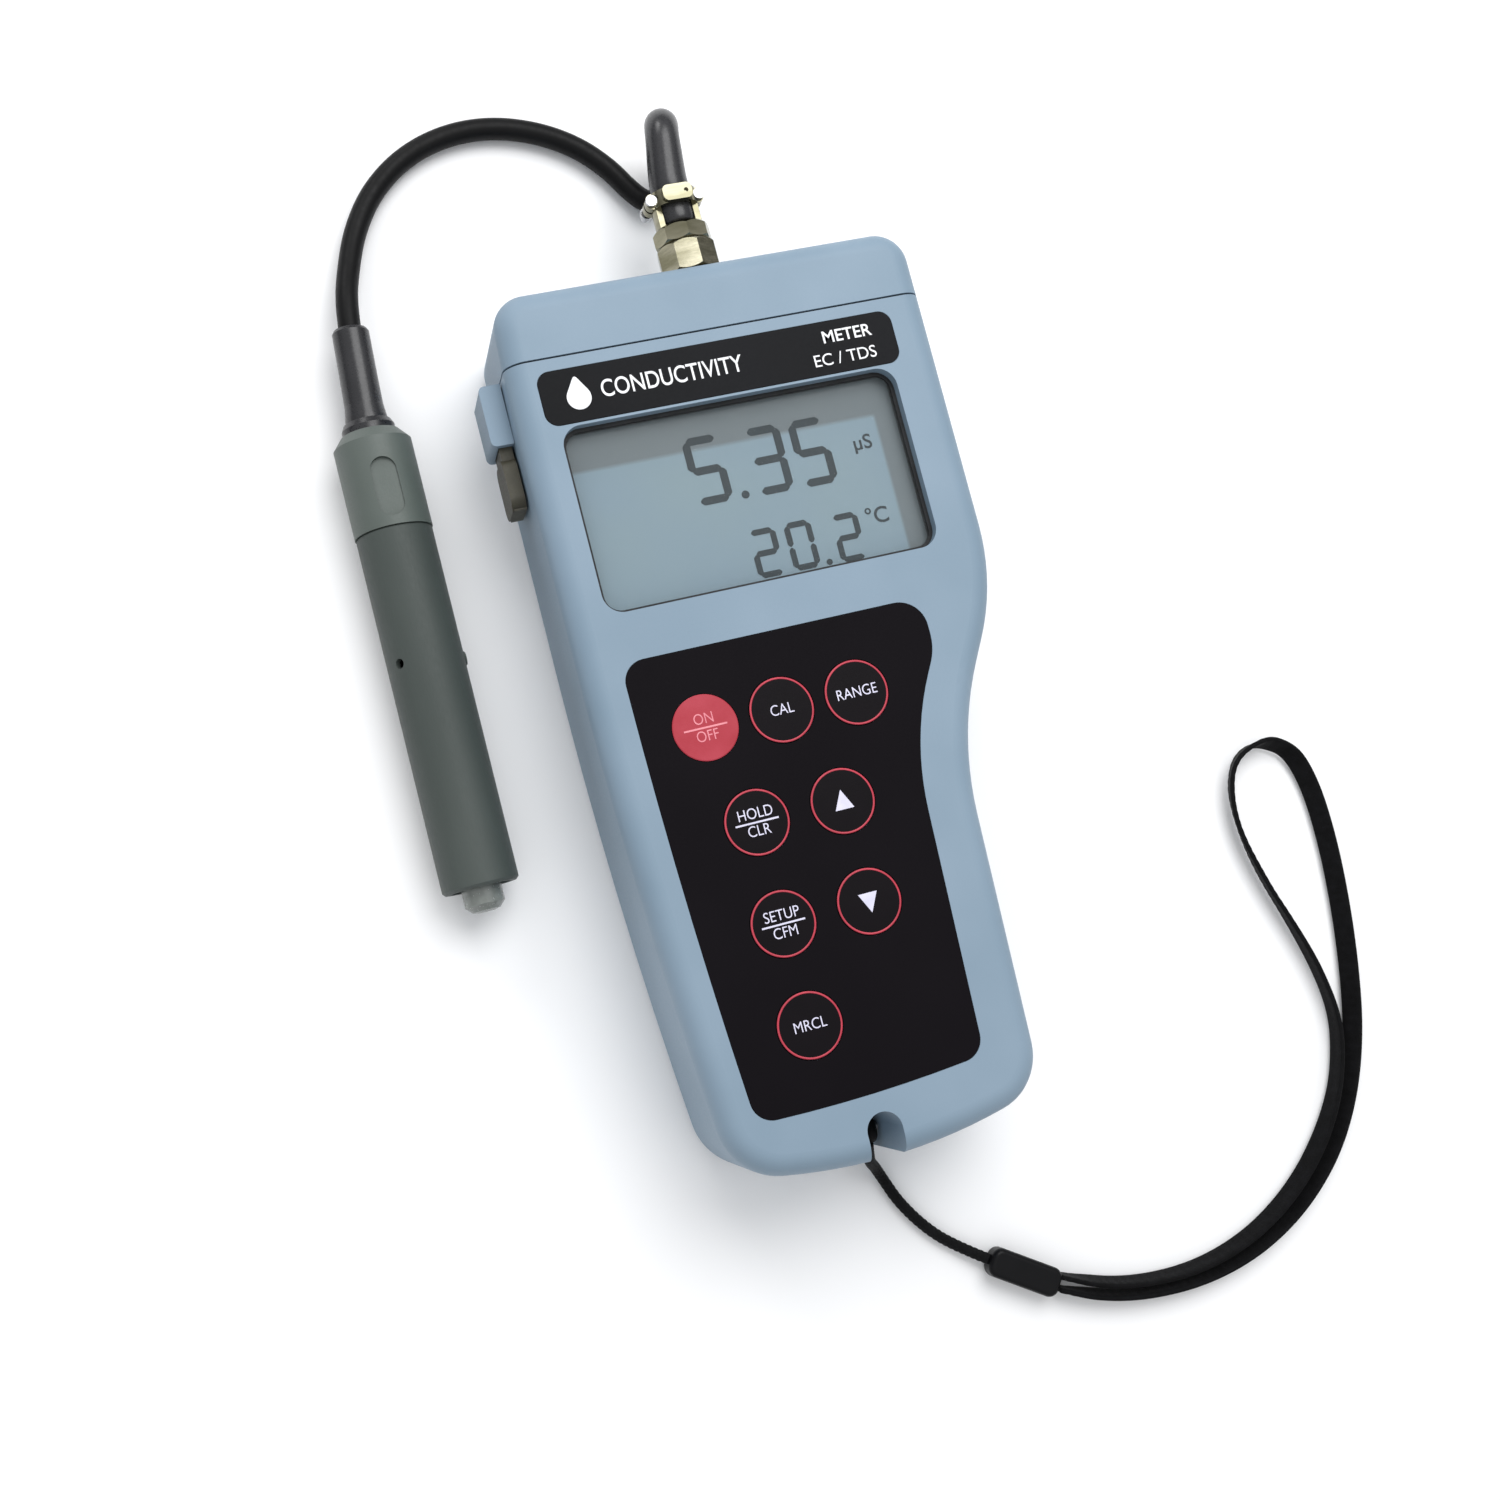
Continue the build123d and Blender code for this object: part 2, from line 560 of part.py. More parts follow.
slider = extrude(RectangleRounded(slider_size[0], slider_size[1], 2.2), slider_size[2])
slider = fillet(slider.edges().group_by(Axis.Z)[-1] + slider.edges().group_by(Axis.Z)[0], 1.2)
slider = Pos(*slider_center, 0.05) * Rot(Z=slider_angle) * slider
save("strap_slider", slider - strap_cord - strap_webbing)
save("strap_pin", Pos(notch_center[0], pin_spot[0], pin_spot[1]) * Rot(Y=90) * Cylinder(0.98, 12.4))
hitch = []
for side in (-1, 1):
    hitch.append(Pos(strap_cord_route[0][0] + side * 1.12, *pin_spot) * Rot(Y=90) * Torus(2.12, 1.08))
save("strap_hitch", group([loop - strap_cord for loop in hitch]))


# probe
def probe_head():
    """Upper part of the probe: round cap with a finger recess, a threaded skirt and the stem's socket."""
    head = turned([(0, probe_top), (6.2, probe_top), (head_radius, probe_top - 2.4),
                   (head_radius, seam_y + 0.15),
                   (sleeve_bore - 0.1, seam_y + 0.15), (sleeve_bore - 0.1, seam_y - 8), (0, seam_y - 8)],
                  probe_x, probe_z)
    groove = turned([(sleeve_bore - 0.9, seam_y - 3.0), (sleeve_bore + 1, seam_y - 3.0),
                     (sleeve_bore + 1, seam_y - 1.6), (sleeve_bore - 0.9, seam_y - 1.6)], probe_x, probe_z)
    recess_slot = extrude(SlotOverall(12.6, 5.4, rotation=90), 4)
    recess = Pos(probe_x + 0.4, 63.8, probe_z + head_radius - 1.0) * recess_slot
    cable_hole = along_y(3.1, 66.0, probe_top + 1, probe_x, probe_z)
    stem_hole = along_y(stem_radius, 40.0, 60.0, probe_x, probe_z)
    return head - groove - recess - cable_hole - stem_hole


def probe_sleeve():
    """Guard tube over the cell, with two vent holes, a lug and an open lip at the end."""
    lip = stem_radius + 0.5
    sleeve = turned([(sleeve_bore, seam_y), (sleeve_radius - 0.2, seam_y), (sleeve_radius, seam_y - 0.3),
                     (sleeve_radius, sleeve_end + 0.6), (sleeve_radius - 0.6, sleeve_end),
                     (lip + 1.4, sleeve_end),
                     (lip + 1.2, sleeve_end + 1.6), (lip, sleeve_end + 1.6), (lip, sleeve_end + 3.2),
                     (sleeve_bore, sleeve_end + 4.6)], probe_x, probe_z)
    vent = Pos(probe_x, 27.6, probe_z) * Rot(Y=-45) * Cylinder(1.05, 30)
    lug = Pos(probe_x + sleeve_radius - 0.1, 26.8, probe_z) * Rot(Y=90) * Cylinder(1.5, 0.9)
    lug = fillet(lug.edges().sort_by(Axis.X)[-1], 0.4)
    bore = along_y(sleeve_bore, 0, 50, probe_x, probe_z)
    return (sleeve - vent) + (lug - bore)


save("probe_head", probe_head())
save("probe_sleeve", probe_sleeve())
oring_section = 0.43
groove_floor = sleeve_bore - 0.9
oring = Pos(probe_x, seam_y - 2.3, probe_z) * Rot(X=-90) * Torus(groove_floor + oring_section, oring_section)
save("probe_oring", oring)

stem = turned([(0, 59.8), (stem_radius, 59.8), (stem_radius, -16.0), (stem_radius - 0.5, -17.0), (0, -17.0)],
              probe_x, probe_z)
electrode_spots = (12.0, 2.0, -8.0)
electrodes = []
for y in electrode_spots:
    ring_bore = stem_radius - 0.6
    ring = turned([(ring_bore, y), (stem_radius, y), (stem_radius, y + 3.2), (ring_bore, y + 3.2)],
                  probe_x, probe_z)
    electrodes.append(ring)
    stem -= ring
stem -= along_y(1.25, -20, 30, probe_x, probe_z)
save("cell_stem", stem)
save("cell_electrodes", group(electrodes))
save("temperature_pin", along_y(1.2, -16.9, 29.9, probe_x, probe_z))
tip_radius = stem_radius - 0.1
tip = turned([(0, -17.0), (tip_radius, -17.0), (tip_radius, tip_end + 1.6), (2.9, tip_end + 0.3),
              (1.7, tip_end), (0, tip_end)], probe_x, probe_z)
save("sensor_tip", tip)

boot_root = turned([(0, 66.2), (3.0, 66.2), (3.0, probe_top + 0.05), (5.5, probe_top + 0.05),
                    (5.6, probe_top + 1.4), (5.0, probe_top + 2.6), (0, probe_top + 2.6)], probe_x, probe_z)
tube_length = math.hypot(cable_route[-1][0] - probe_x, cable_route[-1][1] - boot_pivot_y)
boot_tube = turned([(0, -1.0), (4.6, -1.0), (4.4, 1.6), (4.05, 4.4), (3.95, 12.0), (3.9, tube_length - 0.7),
                    (3.5, tube_length), (0, tube_length)], 0, 0)
tilt = math.degrees(math.atan2(cable_route[-1][0] - probe_x, cable_route[-1][1] - boot_pivot_y))
save("probe_boot", boot_root + Pos(probe_x, boot_pivot_y, probe_z) * Rot(Z=-tilt) * boot_tube)
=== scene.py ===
import math
import bpy
import bmesh
from mathutils import Matrix, Vector
from mathutils.bvhtree import BVHTree


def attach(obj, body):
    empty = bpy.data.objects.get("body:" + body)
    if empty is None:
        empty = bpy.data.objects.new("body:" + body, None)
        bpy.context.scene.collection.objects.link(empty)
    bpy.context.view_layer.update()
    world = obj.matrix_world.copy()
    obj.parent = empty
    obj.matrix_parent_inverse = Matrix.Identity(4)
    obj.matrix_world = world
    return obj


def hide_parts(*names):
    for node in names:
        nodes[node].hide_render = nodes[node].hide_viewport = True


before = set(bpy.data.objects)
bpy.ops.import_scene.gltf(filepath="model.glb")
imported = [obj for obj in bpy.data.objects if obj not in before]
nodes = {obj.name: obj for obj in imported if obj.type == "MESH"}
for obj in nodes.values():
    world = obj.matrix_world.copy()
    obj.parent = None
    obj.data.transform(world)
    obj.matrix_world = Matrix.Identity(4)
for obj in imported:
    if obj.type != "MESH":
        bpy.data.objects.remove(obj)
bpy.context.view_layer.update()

# Hand-held conductivity meter, its cabled cell probe and its wrist strap.
# Metres, in the model's own frame: +Z out of the display, +Y towards the connector.
mm = 0.001


# small helpers
def toLinear(hexColour):
    channels = [int(hexColour[i:i + 2], 16) / 255 for i in (1, 3, 5)]
    return tuple(c / 12.92 if c <= 0.04045 else ((c + 0.055) / 1.055) ** 2.4 for c in channels) + (1.0,)


def perMetre(sizeMm):
    # texture scale that gives features of this size
    return 1.0 / (sizeMm * mm)


def addNode(tree, kind, settings=None, links=None):
    node = tree.nodes.new(kind)
    for name, value in (settings or {}).items():
        if isinstance(name, str) and hasattr(node, name):
            setattr(node, name, value)
        else:
            node.inputs[name].default_value = value
    for name, source in (links or {}).items():
        tree.links.new(source, node.inputs[name])
    return node


def newMaterial(name, look):
    # a Principled shader with its constant values on its own sockets
    material = bpy.data.materials.new(name)
    material.use_nodes = True
    tree = material.node_tree
    shader = tree.nodes["Principled BSDF"]
    for socket, value in look.items():
        shader.inputs[socket].default_value = value
    return material, tree, shader


def finish(name, look):
    # moulded, cast or turned surface: slow colour drift, fine grain, uneven gloss
    material, tree, shader = newMaterial(name, look.get("sockets", {}))
    place = addNode(tree, "ShaderNodeTexCoord").outputs["Object"]
    if "stretch" in look:
        mapping = addNode(tree, "ShaderNodeMapping", {"Scale": look["stretch"]}, {"Vector": place})
        place = mapping.outputs["Vector"]
    drift = addNode(tree, "ShaderNodeTexNoise", {"Scale": perMetre(look["driftMm"]), "Detail": 3.0},
                    {"Vector": place})
    spread = addNode(tree, "ShaderNodeMapRange", {"From Min": 0.35, "From Max": 0.65},
                     {"Value": drift.outputs["Fac"]})
    colour = addNode(tree, "ShaderNodeMix", {"data_type": "RGBA", 6: toLinear(look["colour"]),
                                             7: toLinear(look["second"])}, {0: spread.outputs["Result"]})
    grain = addNode(tree, "ShaderNodeTexNoise", {"Scale": perMetre(look["grainMm"]), "Detail": 2.5,
                                                 "Roughness": 0.6}, {"Vector": place})
    smoothest, roughest = look["roughness"]
    gloss = addNode(tree, "ShaderNodeMapRange",
                    {"From Min": 0.3, "From Max": 0.7, "To Min": smoothest, "To Max": roughest},
                    {"Value": grain.outputs["Fac"]})
    bump = addNode(tree, "ShaderNodeBump", {"Strength": 1.0, "Distance": look["grainDepthMm"] * mm},
                   {"Height": grain.outputs["Fac"]})
    tree.links.new(colour.outputs[2], shader.inputs["Base Color"])
    tree.links.new(gloss.outputs["Result"], shader.inputs["Roughness"])
    tree.links.new(bump.outputs["Normal"], shader.inputs["Normal"])
    return material


def dress(material, *names):
    for name in names:
        mesh = nodes[name].data
        mesh.materials.clear()
        mesh.materials.append(material)


def addPiece(name, mesh, material, body):
    piece = bpy.data.objects.new(name, mesh)
    bpy.context.scene.collection.objects.link(piece)
    mesh.materials.append(material)
    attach(piece, body)
    return piece


def meshFrom(name, points, faces, smooth=True):
    mesh = bpy.data.meshes.new(name)
    mesh.from_pydata([tuple(p) for p in points], [], faces)
    mesh.validate()
    shell = bmesh.new()
    shell.from_mesh(mesh)
    bmesh.ops.recalc_face_normals(shell, faces=shell.faces)
    shell.to_mesh(mesh)
    shell.free()
    for face in mesh.polygons:
        face.use_smooth = smooth
    return mesh


# camera, floor and light
view = {
    "eye": (-0.10224, -0.03891, 0.39153),
    "aim": (-0.01109, -0.0065, 0.018),
    "rollDegrees": 14.602,
    "lensMm": 44.47,
}
forward = (Vector(view["aim"]) - Vector(view["eye"])).normalized()
levelUp = (Vector((0, 1, 0)) - forward * forward.y).normalized()
levelRight = forward.cross(levelUp)
roll = math.radians(view["rollDegrees"])
cameraUp = levelUp * math.cos(roll) + levelRight * math.sin(roll)
cameraRight = forward.cross(cameraUp)
lens = bpy.data.cameras.new("camera")
lens.lens = view["lensMm"]
lens.sensor_width = 36.0
lens.clip_start = 0.01
camera = bpy.data.objects.new("camera", lens)
bpy.context.scene.collection.objects.link(camera)
rows = [(cameraRight[i], cameraUp[i], -forward[i], view["eye"][i]) for i in range(3)]
camera.matrix_world = Matrix(rows + [(0, 0, 0, 1)])
bpy.context.scene.camera = camera
bpy.context.scene.view_settings.view_transform = "Standard"

corners = [(-3, -3, -0.0004), (3, -3, -0.0004), (3, 3, -0.0004), (-3, 3, -0.0004)]
floor = meshFrom("floor", corners, [(0, 1, 2, 3)])
floorPiece = bpy.data.objects.new("floor", floor)
bpy.context.scene.collection.objects.link(floorPiece)
paper = newMaterial("white paper sweep", {"Base Color": (0.97, 0.97, 0.975, 1), "Roughness": 0.9,
                                          "Specular IOR Level": 0.05})[0]
floor.materials.append(paper)

# large soft key almost overhead, weak strip behind the connector
lamps = [
    {"name": "keySoftbox", "from": (0.20, 0.36, 0.70), "size": 0.62, "watts": 3.9},
    {"name": "backStrip", "from": (-0.26, 0.95, 0.50), "size": 0.40, "watts": 2.0},
]
for lamp in lamps:
    area = bpy.data.lights.new(lamp["name"], "AREA")
    area.shape = "DISK"
    area.size = lamp["size"]
    area.energy = lamp["watts"]
    holder = bpy.data.objects.new(lamp["name"], area)
    holder.location = lamp["from"]
    holder.rotation_euler = (-Vector(lamp["from"])).to_track_quat("-Z", "Y").to_euler()
    bpy.context.scene.collection.objects.link(holder)

world = bpy.data.worlds.new("studio")
bpy.context.scene.world = world
world.use_nodes = True
# the room is bright overhead and dim near the horizon; the camera itself sees it plain and pale
sky = world.node_tree.nodes["Background"]
skyPlace = addNode(world.node_tree, "ShaderNodeTexCoord").outputs["Generated"]
skyAxes = addNode(world.node_tree, "ShaderNodeSeparateXYZ", None, {"Vector": skyPlace})
height = addNode(world.node_tree, "ShaderNodeMapRange",
                 {"interpolation_type": "SMOOTHSTEP", "From Min": -0.05, "From Max": 0.75, "To Min": 0.22,
                  "To Max": 0.86}, {"Value": skyAxes.outputs["Z"]})
seen = addNode(world.node_tree, "ShaderNodeLightPath").outputs["Is Camera Ray"]
level = addNode(world.node_tree, "ShaderNodeMix", {"data_type": "FLOAT", 3: 1.0},
                {0: seen, 2: height.outputs["Result"]})
sky.inputs["Color"].default_value = (0.975, 0.985, 1.0, 1)
world.node_tree.links.new(level.outputs[0], sky.inputs["Strength"])
print("stage and camera ready")


# cords
cableLook = {"diameterMm": 4.8, "points": [
    (6.1, 130.5, 13.0), (6.9, 129.9, 9.3), (7.8, 127.1, 7.0), (7.6, 122.9, 5.6), (5.4, 119.4, 4.4),
    (1.4, 119.1, 3.5), (-1.6, 122.8, 2.8), (-5.0, 128.8, 2.5), (-10.9, 135.0, 2.5), (-19.2, 139.8, 2.5),
    (-29.2, 142.5, 2.5), (-39.4, 142.1, 2.5), (-49.2, 138.6, 2.6), (-57.6, 132.0, 2.8), (-63.4, 123.4, 3.4),
    (-66.9, 114.2, 5.2), (-69.1, 106.6, 7.6), (-69.75, 100.2, 8.3)]}
strapCordLook = {"diameterMm": 2.2, "points": [
    (-7.6, -90.9, 16.6), (-7.4, -94.2, 13.6), (-6.2, -96.0, 9.0), (-4.4, -97.6, 4.2), (-2.6, -101.0, 1.3),
    (-0.4, -107.0, 1.3), (4.4, -114.4, 1.3), (9.9, -119.6, 1.3), (15.3, -123.6, 2.4)]}
webbingLook = {"widthMm": 4.4, "thicknessMm": 1.0, "heightMm": 2.5, "points": [
    (28.7, -134.0), (36.0, -137.6), (47.5, -140.8), (61.5, -141.7), (75.5, -139.3), (88.5, -133.4),
    (99.5, -124.4), (107.6, -113.0), (113.2, -100.0), (116.6, -86.0), (119.0, -71.0), (120.3, -56.0),
    (120.0, -43.0), (117.6, -34.6), (111.0, -30.4), (103.6, -32.4), (99.8, -39.0), (99.2, -49.0),
    (101.6, -61.0), (105.6, -73.0), (108.6, -84.0), (109.8, -95.0), (107.6, -104.4), (103.4, -113.4),
    (95.8, -123.0), (86.0, -130.8), (74.4, -136.4), (61.2, -139.0), (47.9, -138.2), (36.6, -135.0),
    (29.6, -131.4)],
    # share of the length, lean of the strap in degrees
    "lean": [(0.0, 6), (0.025, 20), (0.18, 28), (0.30, 46), (0.47, 54), (0.495, 30), (0.515, 2),
             (0.54, 18), (0.57, 25), (0.61, 15), (0.68, 2), (0.74, -10), (0.80, -28), (0.975, -20),
             (1.0, -6)]}


def routeCurve(name, pointsMm, radius=0.0):
    curve = bpy.data.curves.new(name, "CURVE")
    curve.dimensions = "3D"
    curve.resolution_u = 24
    curve.bevel_depth = radius
    curve.bevel_resolution = 6
    curve.use_fill_caps = radius > 0
    spline = curve.splines.new("NURBS")
    spline.points.add(len(pointsMm) - 1)
    for point, spot in zip(spline.points, pointsMm):
        point.co = (spot[0] * mm, spot[1] * mm, spot[2] * mm, 1.0)
    spline.order_u = 3
    spline.use_endpoint_u = True
    return curve


def readRoute(curve):
    # the smooth line itself, as a list of points
    holder = bpy.data.objects.new("route", curve)
    bpy.context.scene.collection.objects.link(holder)
    mesh = bpy.data.meshes.new_from_object(holder)
    line = [v.co.copy() for v in mesh.vertices]
    bpy.data.objects.remove(holder)
    bpy.data.meshes.remove(mesh)
    return line


def evenly(line, step):
    # the same line with its points a fixed step apart
    lengths = [0.0]
    for a, b in zip(line, line[1:]):
        lengths.append(lengths[-1] + (b - a).length)
    count = max(2, round(lengths[-1] / step))
    spaced = []
    index = 0
    for k in range(count + 1):
        target = lengths[-1] * k / count
        while index < len(line) - 2 and lengths[index + 1] < target:
            index += 1
        run = lengths[index + 1] - lengths[index]
        spaced.append(line[index].lerp(line[index + 1], (target - lengths[index]) / run))
    return spaced, lengths[-1]


def tube(name, rings):
    # closed skin over rings of points
    count = len(rings[0])
    points = [p for ring in rings for p in ring]
    faces = []
    for k in range(len(rings) - 1):
        for j in range(count):
            faces.append((k * count + j, k * count + (j + 1) % count,
                          (k + 1) * count + (j + 1) % count, (k + 1) * count + j))
    faces.append(tuple(range(count)))
    faces.append(tuple((len(rings) - 1) * count + j for j in range(count)))
    return meshFrom(name, points, faces)


def directions(line):
    tangents = []
    for k in range(len(line)):
        tangents.append((line[min(k + 1, len(line) - 1)] - line[max(k - 1, 0)]).normalized())
    return tangents


pvcCable = finish("PVC cable jacket extruded", {
    # satin black with a faint lengthwise flow, catches a soft grey streak
    "colour": "#070708", "second": "#0B0B0C", "driftMm": 9, "grainMm": 0.9, "grainDepthMm": 0.02,
    "roughness": (0.42, 0.54), "sockets": {"Specular IOR Level": 0.16}})
cable = routeCurve("probeCable", cableLook["points"], cableLook["diameterMm"] * mm / 2)
cablePiece = bpy.data.objects.new("probeCable", cable)
bpy.context.scene.collection.objects.link(cablePiece)
cable.materials.append(pvcCable)
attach(cablePiece, "probe_lead")
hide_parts("probe_cable")

# bend relief of the plug, thinning towards its arch
bootRubber = finish("soft PVC boot moulded", {
    # grey-black bend relief, satin with a broad soft highlight
    "colour": "#1E1E21", "second": "#262629", "driftMm": 10, "grainMm": 0.6, "grainDepthMm": 0.012,
    "roughness": (0.24, 0.34)})
bootLook = {"insideMm": 3.9, "thickMm": 4.6, "thinMm": 3.7, "steps": 9, "corners": [
    ((2.4, 106.2, 20.0), 0.0), ((2.4, 116.2, 20.0), 40.0), ((4.5, 131.5, 20.0), 5.4),
    ((6.1, 130.5, 13.0), 0.0)]}


def filleted(corners, steps):
    # straight runs joined by true arcs, in millimetres
    line = [Vector(corners[0][0])]
    for before, (corner, radius), after in zip(corners, corners[1:], corners[2:]):
        spot = Vector(corner)
        back = (Vector(before[0]) - spot).normalized()
        ahead = (Vector(after[0]) - spot).normalized()
        half = back.angle(ahead) / 2
        centre = spot + (back + ahead).normalized() * radius / math.sin(half)
        first = spot + back * radius / math.tan(half) - centre
        last = spot + ahead * radius / math.tan(half) - centre
        sweep = first.angle(last)
        for k in range(steps + 1):
            share = k / steps
            line.append(centre + (first * math.sin((1 - share) * sweep) + last * math.sin(share * sweep))
                        / math.sin(sweep))
    line.append(Vector(corners[-1][0]))
    return line


bootLine = evenly([p * mm for p in filleted(bootLook["corners"], bootLook["steps"])], 0.0006)[0]
rings = []
for k, (centre, along) in enumerate(zip(bootLine, directions(bootLine))):
    side = along.cross(Vector((0.0, 0.35, 0.94))).normalized() if abs(along.z) < 0.9 else Vector((1, 0, 0))
    side = (side - along * side.dot(along)).normalized()
    over = side.cross(along)
    share = min(1.0, k / len(bootLine) * 1.5)
    radius = (bootLook["thickMm"] * (1 - share) + bootLook["thinMm"] * share) * mm
    # it swells out above the clamp that grips it
    swell = max(0.0, min(1.0, (centre.y - 0.1132) / 0.0016)) if k < len(bootLine) / 2 else 1.0
    radius = bootLook["insideMm"] * mm * (1 - swell) + radius * swell
    end = min(k, len(bootLine) - 1 - k)
    radius -= (0.45, 0.16, 0.04)[end] * mm if end < 3 else 0.0
    rings.append([centre + (side * math.cos(a * math.pi / 16) + over * math.sin(a * math.pi / 16)) * radius
                  for a in range(32)])
bootPiece = addPiece("plugBoot", tube("plugBoot", rings), bootRubber, "probe_lead")
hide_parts("plug_boot")
cableLine = readRoute(routeCurve("cableRoute", cableLook["points"]))
cableLength = evenly(cableLine, 0.001)[1]
print("probe cable", round(cableLength * 1000, 1), "mm")

# braided polyester strap cord, with its strands raised in the mesh
braidedPolyester = finish("polyester cord braided", {
    # dull black, strands catch small soft lights
    "colour": "#080809", "second": "#0F0F11", "driftMm": 3, "grainMm": 0.25, "grainDepthMm": 0.04,
    "roughness": (0.6, 0.8), "sockets": {"Sheen Weight": 0.03, "Specular IOR Level": 0.12}})
strapLine, strapLength = evenly(readRoute(routeCurve("strapRoute", strapCordLook["points"])), 0.00025)
strandTurns = 4
strandPitch = 5.2 * mm
rings = []
for k, (centre, along) in enumerate(zip(strapLine, directions(strapLine))):
    side = along.cross(Vector((0, 0, 1))).normalized()
    over = side.cross(along)
    travelled = strapLength * k / (len(strapLine) - 1)
    ring = []
    for j in range(32):
        angle = 2 * math.pi * j / 32
        twist = 2 * math.pi * travelled / strandPitch
        lay = max(math.cos(strandTurns * (angle + twist)), math.cos(strandTurns * (angle - twist)))
        radius = strapCordLook["diameterMm"] * mm / 2 * (1.03 + 0.08 * lay)
        ring.append(centre + (side * math.cos(angle) + over * math.sin(angle)) * radius)
    rings.append(ring)
strapCord = addPiece("strapCord", tube("strapCord", rings), braidedPolyester, "meter")
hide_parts("strap_cord")
print("strap cord", round(strapLength * 1000, 1), "mm")

# flat webbing, woven with two selvedges
wovenPolyester = finish("polyester webbing woven", {
    # matt black, cross ribs of the weft just show
    "colour": "#070708", "second": "#0D0D0F", "driftMm": 2, "grainMm": 0.35, "grainDepthMm": 0.05,
    "roughness": (0.62, 0.82), "sockets": {"Sheen Weight": 0.03, "Specular IOR Level": 0.1}})
webPoints = [(x, y, webbingLook["heightMm"]) for x, y in webbingLook["points"]]
webLine, webLength = evenly(readRoute(routeCurve("webRoute", webPoints)), 0.0004)
halfWidth = webbingLook["widthMm"] * mm / 2
halfThick = webbingLook["thicknessMm"] * mm / 2
leanLook = webbingLook["lean"]
# half of the section, with a raised selvedge on either side; the other half mirrors it
upperSection = [(-1, 0.45), (-0.93, 0.9), (-0.8, 1), (-0.4, 0.94), (0, 0.9), (0.4, 0.94), (0.8, 1),
                (0.93, 0.9), (1, 0.45)]
webbingSection = upperSection + [(w, -t) for w, t in reversed(upperSection)]
rings = []
for k, (centre, along) in enumerate(zip(webLine, directions(webLine))):
    share = k / (len(webLine) - 1)
    spot = max(i for i in range(len(leanLook) - 1) if leanLook[i][0] <= share)
    (startShare, startLean), (endShare, endLean) = leanLook[spot:spot + 2]
    ease = (share - startShare) / (endShare - startShare)
    ease = ease * ease * (3 - 2 * ease)
    lean = math.radians(startLean + (endLean - startLean) * ease)
    level = along.cross(Vector((0, 0, 1))).normalized()
    across = Vector((0, 0, 1)) * math.cos(lean) + level * math.sin(lean)
    outward = along.cross(across).normalized()
    # the lower edge of a leaning strap still rests on the table
    centre = centre + Vector((0, 0, -halfWidth * (1 - math.cos(lean)) + halfThick * abs(math.sin(lean))))
    weft = 0.07 * mm * math.sin(2 * math.pi * k / 2.5)
    ring = []
    for w, t in webbingSection:
        rib = weft if abs(w) < 0.85 else 0.0
        ring.append(centre + across * w * halfWidth + outward * (t * halfThick + math.copysign(rib, t)))
    rings.append(ring)
webbing = addPiece("strapWebbing", tube("strapWebbing", rings), wovenPolyester, "meter")
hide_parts("strap_webbing")
print("webbing", round(webLength * 1000, 1), "mm")
print("cords ready")


# plastics
absHousing = finish("ABS moulded", {
    # light blue-grey, spark-eroded satin that spreads the light softly
    "colour": "#7B90A1", "second": "#8397A8", "driftMm": 34, "grainMm": 0.45, "grainDepthMm": 0.012,
    "roughness": (0.46, 0.58), "sockets": {"Specular IOR Level": 0.4}})
dress(absHousing, "front_housing", "rear_housing", "top_cap", "battery_door", "side_bracket")
membrane = finish("polyester membrane embossed", {
    # deep brown-black film, matt with fine embossed grain
    "colour": "#0F0C10", "second": "#110E12", "driftMm": 26, "grainMm": 0.4, "grainDepthMm": 0.008,
    "roughness": (0.5, 0.6), "sockets": {"Specular IOR Level": 0.05}})
dress(membrane, "keypad_overlay")
keyFilm = finish("polyester key dome", {
    # same film stretched over the key, a little smoother
    "colour": "#0E0B0E", "second": "#110D11", "driftMm": 11, "grainMm": 0.4, "grainDepthMm": 0.006,
    "roughness": (0.42, 0.52), "sockets": {"Specular IOR Level": 0.07}})
dress(keyFilm, "key_cal", "key_range", "key_hold", "key_up", "key_setup", "key_down", "key_recall")
redKeyFilm = finish("red polyester key dome", {
    # clear signal red with a soft pink bloom
    "colour": "#A62F3C", "second": "#B03C4A", "driftMm": 8, "grainMm": 0.4, "grainDepthMm": 0.006,
    "roughness": (0.4, 0.5), "sockets": {"Specular IOR Level": 0.22}})
dress(redKeyFilm, "key_on_off")
labelPlate = finish("polycarbonate label", {
    # smooth black, sharper gloss than the keypad
    "colour": "#0D0E11", "second": "#0F1014", "driftMm": 22, "grainMm": 0.5, "grainDepthMm": 0.003,
    "roughness": (0.34, 0.42), "sockets": {"Specular IOR Level": 0.07}})
dress(labelPlate, "nameplate")
blackPlastic = finish("black ABS moulded", {
    # inner frames and trays, plain satin black
    "colour": "#1A1A1B", "second": "#232324", "driftMm": 12, "grainMm": 0.5, "grainDepthMm": 0.015,
    "roughness": (0.4, 0.55)})
dress(blackPlastic, "lcd_frame", "battery_tray", "socket_insert", "plug_insert")
acetal = finish("acetal moulded", {
    # slider of the strap, waxy black with a bright edge
    "colour": "#0B0B0D", "second": "#0F0F11", "driftMm": 6, "grainMm": 0.7, "grainDepthMm": 0.006,
    "roughness": (0.3, 0.4), "sockets": {"Specular IOR Level": 0.14}})
dress(acetal, "strap_slider")
oliveNylon = finish("glass-filled nylon moulded", {
    # olive brown tongue, slightly fibrous and dull
    "colour": "#3B382B", "second": "#464334", "driftMm": 5, "grainMm": 0.35, "grainDepthMm": 0.02,
    "roughness": (0.48, 0.62)})
dress(oliveNylon, "probe_clip")
greyPvc = finish("PVC turned and bead-blasted", {
    # grey-green body of the probe, soft and chalky
    "colour": "#59615D", "second": "#515A55", "driftMm": 16, "grainMm": 0.4, "grainDepthMm": 0.018,
    "roughness": (0.45, 0.58)})
